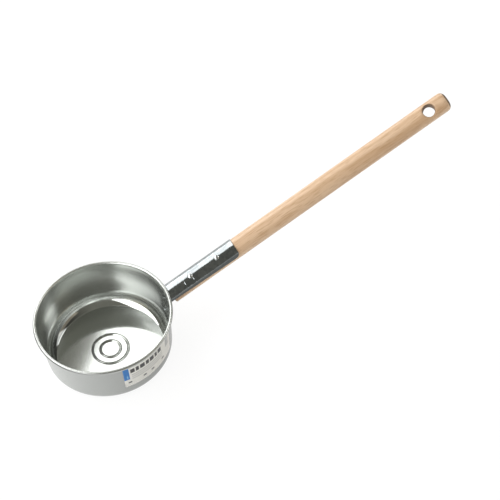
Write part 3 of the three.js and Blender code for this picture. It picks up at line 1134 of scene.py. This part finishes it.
# %% [markdown]
# ### Beech colour and gloss
# Straw and pink make the ground, and rings and flecks lie over it as thin darker layers. End grain is
# full of open pores, so it is darker and duller, and its dark brown is also painted shade on the sawn end
# and inside the hole: the mesh says where, in a number named end_grain_and_shade. Sanded bare wood has a
# soft gloss along its streaks and a little sheen from the fibres that stand up.

# %% Beech colour and gloss
BEECH_PALE = "eed3b7"
BEECH_WARM = "dfba95"
BEECH_RING = "b78c61"
# Darker end grain, deepened as painted shade on the sawn end and inside the hole
BEECH_END_GRAIN_SHADE = "553a20"
RING_SHARE = 0.8
FLECK_SHARE = 0.5
SANDED_SMOOTH = 0.34
SANDED_ROUGH = 0.5
END_GRAIN_DULLNESS = 0.4
GRAIN_DEPTH = 0.05 * MM

end_grain_and_shade = add_node(tree, "ShaderNodeAttribute", {}, attribute_name="end_grain_and_shade").outputs["Fac"]
ring_share = add_node(
    tree, "ShaderNodeMath", {0: rings, 1: streaks}, operation="MULTIPLY"
).outputs[0]
ring_share = add_node(
    tree, "ShaderNodeMath", {0: ring_share, 1: RING_SHARE}, operation="MULTIPLY"
).outputs[0]
fleck_share = add_node(
    tree, "ShaderNodeMath", {0: flecks, 1: FLECK_SHARE}, operation="MULTIPLY"
).outputs[0]
colour = linear(BEECH_PALE)
for share, layer in (
    (slow, BEECH_WARM),
    (ring_share, BEECH_RING),
    (fleck_share, BEECH_RING),
    (end_grain_and_shade, BEECH_END_GRAIN_SHADE),
):
    colour = add_node(
        tree,
        "ShaderNodeMix",
        {"Factor": share, "A": colour, "B": linear(layer)},
        data_type="RGBA",
    ).outputs["Result"]
roughness = add_node(
    tree, "ShaderNodeMapRange", {"Value": streaks, "To Min": SANDED_SMOOTH, "To Max": SANDED_ROUGH}
).outputs[0]
roughness = add_node(
    tree,
    "ShaderNodeMath",
    {0: end_grain_and_shade, 1: END_GRAIN_DULLNESS, 2: roughness},
    operation="MULTIPLY_ADD",
).outputs[0]
bump = add_node(
    tree, "ShaderNodeBump", {"Height": streaks, "Distance": GRAIN_DEPTH, "Strength": 0.6}
)
wood = add_node(
    tree,
    "ShaderNodeBsdfPrincipled",
    {
        "Base Color": colour,
        "Roughness": roughness,
        "IOR": 1.5,
        "Sheen Weight": 0.15,
        "Sheen Roughness": 0.4,
        "Normal": bump.outputs["Normal"],
    },
)
add_node(tree, "ShaderNodeOutputMaterial", {"Surface": wood.outputs[0]})
print("wood finish:", beech.name)

# %% [markdown]
# ## Handle
# The dowel has a rounded free end and a hang hole with softened mouths. A Boolean would cut the hole, but
# its long thin triangles shade badly on a smooth cylinder. So the dowel is a grid of rows and columns with
# a window left open at each mouth. The rows come first, as places along the handle, each with its radius.

# %% Handle rows
HANDLE_START = 9.0
HANDLE_END = 371.0
END_ROUNDING = 6.0
ROUNDING_STEPS = 10
START_CHAMFER = 1.0
START_FACE_RING = 6.0
HOLE_ALONG = 347.4
WINDOW_HALF_LENGTH = 12.0
WINDOW_ROWS = 25
BODY_ROW = 4.0

window_start = HOLE_ALONG - WINDOW_HALF_LENGTH
window_end = HOLE_ALONG + WINDOW_HALF_LENGTH
stations = [
    (HANDLE_START, START_FACE_RING),
    (HANDLE_START, HANDLE_RADIUS - START_CHAMFER),
    (HANDLE_START + START_CHAMFER / 2, HANDLE_RADIUS - START_CHAMFER / 3),
    (HANDLE_START + START_CHAMFER, HANDLE_RADIUS),
]
body_rows = round((window_start - HANDLE_START) / BODY_ROW)
for along in even(HANDLE_START + START_CHAMFER, window_start, body_rows)[1:-1]:
    stations.append((along, HANDLE_RADIUS))
window_first = len(stations)
for along in even(window_start, window_end, WINDOW_ROWS):
    stations.append((along, HANDLE_RADIUS))
window_last = len(stations) - 1
rounding = (HANDLE_END - END_ROUNDING, HANDLE_RADIUS - END_ROUNDING)
stations.append(((window_end + rounding[0]) / 2, HANDLE_RADIUS))
stations += arc(rounding, END_ROUNDING, math.pi / 2, 0, ROUNDING_STEPS)
stations.append((HANDLE_END, (HANDLE_RADIUS - END_ROUNDING) / 2))
print("handle rows:", len(stations))

# %% [markdown]
# ### Dowel grid
# The grid starts its columns at the middle of the near mouth, so that both windows lie evenly round their
# mouths. Faces are left out where a window is, and each end is closed with a fan of triangles.

# %% Dowel grid
HOLE_TURN = math.radians(26)
HANDLE_COLUMNS = 120
WINDOW_COLUMNS = 40

half_window = WINDOW_COLUMNS // 2
half_turn = HANDLE_COLUMNS // 2
handle_points = []
handle_faces = []
for along, radius in stations:
    for column in range(HANDLE_COLUMNS):
        angle = HOLE_TURN + 2 * math.pi * column / HANDLE_COLUMNS
        handle_points.append(round_handle(along, angle, radius))


def grid_index(row, column):
    return row * HANDLE_COLUMNS + column % HANDLE_COLUMNS


for row in range(len(stations) - 1):
    for column in range(HANDLE_COLUMNS):
        in_rows = window_first <= row < window_last
        from_mouth = (column + half_window) % half_turn
        if in_rows and from_mouth < WINDOW_COLUMNS:
            continue
        handle_faces.append(
            (
                grid_index(row, column),
                grid_index(row, column + 1),
                grid_index(row + 1, column + 1),
                grid_index(row + 1, column),
            )
        )

for row, along in ((0, HANDLE_START), (len(stations) - 1, HANDLE_END)):
    centre = len(handle_points)
    handle_points.append(Vector((along, 0, 0)))
    for column in range(HANDLE_COLUMNS):
        handle_faces.append((centre, grid_index(row, column), grid_index(row, column + 1)))
print("dowel grid:", len(handle_points), "points,", len(handle_faces), "faces")

# %% [markdown]
# ### Hang hole
# Rings of points lead from each window's edge over the round surface to the mouth, round its softened lip
# and through the wood. All rings of a mouth have the same count, so each pair is joined by a strip of
# four-sided faces, and the strips shade as smoothly as the dowel. The drill leaned by a degree, which
# shifts the mouths.

# %% Hang hole
HOLE_RADIUS = 6.7
HOLE_LIP = 2.2
HOLE_LEAN = math.radians(1)
LEAD_RINGS = 8
LIP_RINGS = 6
HOLE_RINGS = 10

hole_out = round_handle(0, HOLE_TURN, 1)
hole_across = round_handle(0, HOLE_TURN + math.pi / 2, 1)
mouth_radius = HOLE_RADIUS + HOLE_LIP
mouth_shift = HANDLE_RADIUS * math.tan(HOLE_LEAN)


def near_window():
    """Indices of the points round the near window, as seen from outside."""
    loop = [grid_index(window_first, column) for column in range(-half_window, half_window)]
    loop += [grid_index(row, half_window) for row in range(window_first, window_last)]
    loop += [grid_index(window_last, column) for column in range(half_window, -half_window, -1)]
    loop += [grid_index(row, -half_window) for row in range(window_last, window_first, -1)]
    return loop


def on_dowel(along, across, side, drop):
    """A point so far from the middle of a mouth, on the dowel or dropped below it."""
    height = math.sqrt(HANDLE_RADIUS**2 - across**2) - drop
    middle = Vector((HOLE_ALONG - mouth_shift * side, 0, 0))
    return middle + Vector((along, 0, 0)) + hole_across * across + hole_out * (height * side)


def mouth_rings(loop, side):
    """Rings of points from a window's edge to the bottom of the hole's softened lip."""
    rings = [loop]
    spokes = []
    for index in loop:
        point = handle_points[index]
        spokes.append((point.x - HOLE_ALONG + mouth_shift * side, point.dot(hole_across)))
    for ring in range(1, LEAD_RINGS + LIP_RINGS + 1):
        indices = []
        for edge_along, edge_across in spokes:
            reach = math.hypot(edge_along, edge_across)
            if ring <= LEAD_RINGS:
                radius = reach + (mouth_radius - reach) * ring / LEAD_RINGS
                drop = 0.0
            else:
                turn = math.pi / 2 * (ring - LEAD_RINGS) / LIP_RINGS
                radius = mouth_radius - HOLE_LIP * math.sin(turn)
                drop = HOLE_LIP * (1 - math.cos(turn))
            indices.append(len(handle_points))
            handle_points.append(
                on_dowel(edge_along * radius / reach, edge_across * radius / reach, side, drop)
            )
        rings.append(indices)
    return rings


def join_rings(rings):
    for outer, inner in zip(rings, rings[1:]):
        count = len(outer)
        for step in range(count):
            after = (step + 1) % count
            handle_faces.append((outer[step], outer[after], inner[after], inner[step]))


near_loop = near_window()
# The far window is walked in the order that puts each point opposite its partner on the near side.
far_loop = []
for index in near_loop:
    row, column = divmod(index, HANDLE_COLUMNS)
    far_loop.append(grid_index(row, half_turn - column))
near_rings = mouth_rings(near_loop, 1)
far_rings = mouth_rings(far_loop, -1)
through = [near_rings[-1]]
for ring in range(1, HOLE_RINGS):
    share = ring / HOLE_RINGS
    indices = []
    for near_index, far_index in zip(near_rings[-1], far_rings[-1]):
        indices.append(len(handle_points))
        handle_points.append(handle_points[near_index].lerp(handle_points[far_index], share))
    through.append(indices)
through.append(far_rings[-1])
for rings_to_join in (near_rings, far_rings, through):
    join_rings(rings_to_join)
print("hang hole", 2 * HOLE_RADIUS, "mm across, rings of", len(near_loop), "points")

# %% [markdown]
# ### Handle piece
# The mesh is done, and each point now gets its end_grain_and_shade number, darker end grain with painted
# shade: full on the sawn free end, with a short fade, and less inside the drilled hole, where the bit cut
# across the fibres on two sides only.

# %% Handle piece
END_GRAIN_WIDTH = 2.4
END_GRAIN_FADE = 0.9
# Painted shade and end grain inside the hole, as a share of the full dark
HOLE_END_GRAIN_SHADE = 0.7

handle = make_piece(
    "handle_dowel", "handle", handle_points, handle_faces, beech, handle_place
)
dark_end = []
for point in handle_points:
    to_end = HANDLE_END - point.x
    end_share = between(to_end, END_GRAIN_WIDTH, END_GRAIN_WIDTH - END_GRAIN_FADE)
    from_hole = math.hypot(point.x - HOLE_ALONG, point.dot(hole_across))
    hole_share = HOLE_END_GRAIN_SHADE * between(from_hole, HOLE_RADIUS + HOLE_LIP / 2, HOLE_RADIUS)
    dark_end.append(max(end_share, hole_share))
give_numbers(handle, "end_grain_and_shade", dark_end)

# %% [markdown]
# ## Nail steel
# The two nails are bright zinc-plated wire nails. Plating is thinner and smoother than the hot dip, so they
# shine more than the sheet round them, and the hammer has scuffed them. One noise drives colour, gloss and
# bump alike, because a scuff changes all three at once.

# %% Nail steel
PLATED_BRIGHT = "d9dcdc"
PLATED_SCUFFED = "b4b8ba"
SCUFF_SIZE = 0.9 * MM
SCUFF_DEPTH = 0.05 * MM
PLATED_SMOOTH = 0.14
PLATED_ROUGH = 0.34

nail_steel = new_material("zinc_plated_nail_steel")
tree = nail_steel.node_tree
place = add_node(tree, "ShaderNodeTexCoord", {}).outputs["Object"]
scuffs = add_node(
    tree, "ShaderNodeTexNoise", {"Vector": place, "Scale": 1 / SCUFF_SIZE, "Detail": 3.0}
).outputs["Fac"]
colour = add_node(
    tree,
    "ShaderNodeMix",
    {"Factor": scuffs, "A": linear(PLATED_BRIGHT), "B": linear(PLATED_SCUFFED)},
    data_type="RGBA",
).outputs["Result"]
roughness = add_node(
    tree, "ShaderNodeMapRange", {"Value": scuffs, "To Min": PLATED_SMOOTH, "To Max": PLATED_ROUGH}
).outputs[0]
bump = add_node(
    tree, "ShaderNodeBump", {"Height": scuffs, "Distance": SCUFF_DEPTH, "Strength": 0.5}
)
plated = add_node(
    tree,
    "ShaderNodeBsdfPrincipled",
    {
        "Base Color": colour,
        "Metallic": 1.0,
        "Roughness": roughness,
        "Normal": bump.outputs["Normal"],
    },
)
add_node(tree, "ShaderNodeOutputMaterial", {"Surface": plated.outputs[0]})
print("nail finish:", nail_steel.name)

# %% [markdown]
# ## Nails
# Only the nails' low domed heads show, set a little into the sheet by the last blow of the hammer, which
# also left small flats on them. Each nail is a turned profile from its point to its head. Noise lowers the
# top of the head in places, and each nail reads another slice of it, so the two heads differ.

# %% Nails
NAIL_HEAD_RADIUS = 2.9
NAIL_HEAD_HEIGHT = 1.5
NAIL_HEAD_EDGE = 0.2
NAIL_DOME_FOOT = 0.25
NAIL_SHANK_RADIUS = 1.0
NAIL_LENGTH = 16.0
NAIL_POINT = 2.5
NAIL_TIP_RADIUS = 0.15
NAIL_TIP_LENGTH = 0.1
NAIL_SUNK = 0.25
NAIL_SIDES = 48
BLOW_SIZE = 1.9
BLOW_DEPTH = 0.16
BLOW_OFTEN = 0.3
NOISE_SLICE = 7.0

nail_foot = NAIL_HEAD_HEIGHT - NAIL_LENGTH
nail_section = [
    (0, nail_foot),
    (NAIL_TIP_RADIUS, nail_foot + NAIL_TIP_LENGTH),
    (NAIL_SHANK_RADIUS, nail_foot + NAIL_POINT),
    (NAIL_SHANK_RADIUS, 0),
    (NAIL_HEAD_RADIUS - NAIL_HEAD_EDGE, 0),
    (NAIL_HEAD_RADIUS, NAIL_HEAD_EDGE),
]
for radius, height in dome(NAIL_HEAD_RADIUS, NAIL_HEAD_HEIGHT - NAIL_DOME_FOOT):
    nail_section.append((radius, NAIL_DOME_FOOT + height))

plain_nail, nail_faces = turned(nail_section, NAIL_SIDES)
head_up = Matrix.Rotation(math.radians(NAIL_DEGREES), 4, "X")
seated = Matrix.Translation(Vector((0, 0, SOCKET_RADIUS - NAIL_SUNK)) * MM)
for number, along in enumerate(NAIL_ALONG, start=1):
    nail_points = []
    for x, y, z in plain_nail:
        blow = noise.noise(Vector((x, y, NOISE_SLICE * number)) / BLOW_SIZE)
        top = max(0, z) / NAIL_HEAD_HEIGHT
        nail_points.append((x, y, z - BLOW_DEPTH * max(0, blow + BLOW_OFTEN) * top))
    make_piece(
        f"nail_{number}_driven",
        f"nail_{number}",
        nail_points,
        nail_faces,
        nail_steel,
        handle_place @ Matrix.Translation(Vector((along, 0, 0)) * MM) @ head_up @ seated,
    )

# %% [markdown]
# ## Paper label
# A coated paper label is glued round the wall under the rim. A plane with a Shrinkwrap modifier would
# follow the wall, but the wall has a formula, so each point of the label is put just outside it. Two layers
# of points, the back and the face of the paper, are joined round their edge. Each point also notes its
# place on the flat label in millimetres, for the print.

# %% Paper label
LABEL_WIDTH = 71.0
LABEL_LOW = 20.0
LABEL_HIGH = 54.0
LABEL_CORNER = 1.5
PAPER = 0.14
GLUE = 0.04
LABEL_COLUMNS = 120
LABEL_ROWS = 24

label_radius = wall_radius((LABEL_LOW + LABEL_HIGH) / 2)
label_points = []
label_print = []
for layer in (0, 1):
    for row in range(LABEL_ROWS):
        for across in even(0, LABEL_WIDTH, LABEL_COLUMNS):
            trim = corner_trim(min(across, LABEL_WIDTH - across), LABEL_CORNER)
            low = LABEL_LOW + trim
            high = LABEL_HIGH - trim
            height = low + (high - low) * row / (LABEL_ROWS - 1)
            azimuth = LABEL_AZIMUTH + (across - LABEL_WIDTH / 2) / label_radius
            radius = wall_radius(height, GLUE + PAPER * layer)
            label_points.append((radius * math.cos(azimuth), radius * math.sin(azimuth), height))
            label_print.append((across, height - LABEL_LOW))

layer_size = LABEL_ROWS * LABEL_COLUMNS
label_faces = sheet_faces(LABEL_ROWS, LABEL_COLUMNS)
label_faces += sheet_faces(LABEL_ROWS, LABEL_COLUMNS, first=layer_size)
edge = list(range(LABEL_COLUMNS))
edge += [row * LABEL_COLUMNS - 1 for row in range(2, LABEL_ROWS + 1)]
edge += list(range(layer_size - 2, layer_size - LABEL_COLUMNS - 1, -1))
edge += [row * LABEL_COLUMNS for row in range(LABEL_ROWS - 2, 0, -1)]
for here, there in zip(edge, edge[1:] + edge[:1]):
    label_faces.append((here, there, layer_size + there, layer_size + here))
print("label", LABEL_WIDTH, "by", LABEL_HIGH - LABEL_LOW, "mm on a wall of radius", round(label_radius, 1))

# %% [markdown]
# ### Label print
# The print is plain: a blue panel, a row of dark blocks, thin rules and a few small grey blocks. A picture
# file would be the usual way. Blocks drawn by the material stay sharp at any size, and the coated paper
# under them keeps its faint clouds of fibre and its satin gloss. A block is the product of two ranges, one
# each way.

# %% Label print
PAPER_WHITE = "f3f3f1"
PAPER_SHADE = "e9e9e6"
PRINT_BLUE = "0f74c4"
PRINT_PALE_BLUE = "7fbfe6"
PRINT_BLACK = "26272a"
PRINT_GREY = "55575a"
PRINT_PALE_GREY = "b3b5b6"
FIBRE_CLOUD = 2.5
SOFT_EDGE = 0.1
DARK_BLOCKS = ((8, 13), (14.4, 18), (19.6, 25.4), (27, 31), (32.4, 38), (39.6, 43), (44.6, 50))
RULES = (18.5, 15, 11.5)
SMALL_BLOCKS = (4, 22, 33, 50)

label_paper = new_material("coated_paper_label")
tree = label_paper.node_tree
flat_place = add_node(tree, "ShaderNodeUVMap", {}, uv_map="print").outputs[0]
flat_axes = add_node(tree, "ShaderNodeSeparateXYZ", {"Vector": flat_place}).outputs


def printed(under, left, right, low, high, ink):
    """Prints a plain block over what is there already, with a slightly soft edge."""
    inside = []
    for axis, start, end in ((0, left, right), (1, low, high)):
        middle = (start + end) / 2
        reach = (end - start) / 2
        distance = add_node(
            tree, "ShaderNodeMath", {0: flat_axes[axis], 1: middle}, operation="SUBTRACT"
        ).outputs[0]
        distance = add_node(
            tree, "ShaderNodeMath", {0: distance}, operation="ABSOLUTE"
        ).outputs[0]
        in_range = add_node(
            tree,
            "ShaderNodeMapRange",
            {"Value": distance, "From Min": reach + SOFT_EDGE, "From Max": reach - SOFT_EDGE},
        ).outputs[0]
        inside.append(in_range)
    share = add_node(
        tree, "ShaderNodeMath", {0: inside[0], 1: inside[1]}, operation="MULTIPLY"
    ).outputs[0]
    return add_node(
        tree,
        "ShaderNodeMix",
        {"Factor": share, "A": under, "B": linear(ink)},
        data_type="RGBA",
    ).outputs["Result"]


fibre = add_node(
    tree, "ShaderNodeTexNoise", {"Vector": flat_place, "Scale": 1 / FIBRE_CLOUD, "Detail": 3.0}
).outputs["Fac"]
paper = add_node(
    tree,
    "ShaderNodeMix",
    {"Factor": fibre, "A": linear(PAPER_WHITE), "B": linear(PAPER_SHADE)},
    data_type="RGBA",
).outputs["Result"]

# Left, right, lower and upper edge of each block, in millimetres on the flat label, and its ink
blocks = [(0, 6.4, 12.5, 34.1, PRINT_BLUE), (3.4, 4.6, 14.5, 20, PRINT_PALE_BLUE)]
blocks += [(left, right, 23, 30, PRINT_BLACK) for left, right in DARK_BLOCKS]
blocks += [(59, 66, 16, 32, PRINT_PALE_GREY)]
blocks += [(9, 52, low, low + 1.3, PRINT_PALE_GREY) for low in RULES]
blocks += [(left, left + 4, 5.5, 8, PRINT_GREY) for left in SMALL_BLOCKS]
for block in blocks:
    paper = printed(paper, *block)

coated = add_node(
    tree, "ShaderNodeBsdfPrincipled", {"Base Color": paper, "Roughness": 0.38, "IOR": 1.5}
)
add_node(tree, "ShaderNodeOutputMaterial", {"Surface": coated.outputs[0]})
print("label print:", len(blocks), "blocks on", label_paper.name)

# %% [markdown]
# ### Label piece
# The label's mesh gets a UV map named print that holds millimetres, not shares of a picture, because the
# material measures its blocks in millimetres. UV values past 1 are no trouble as long as no image is read.

# %% Label piece
label = make_piece(
    "label_paper", "label", label_points, label_faces, label_paper
)
print_map = label.data.uv_layers.new(name="print")
for corner in label.data.loops:
    print_map.data[corner.index].uv = label_print[corner.vertex_index]
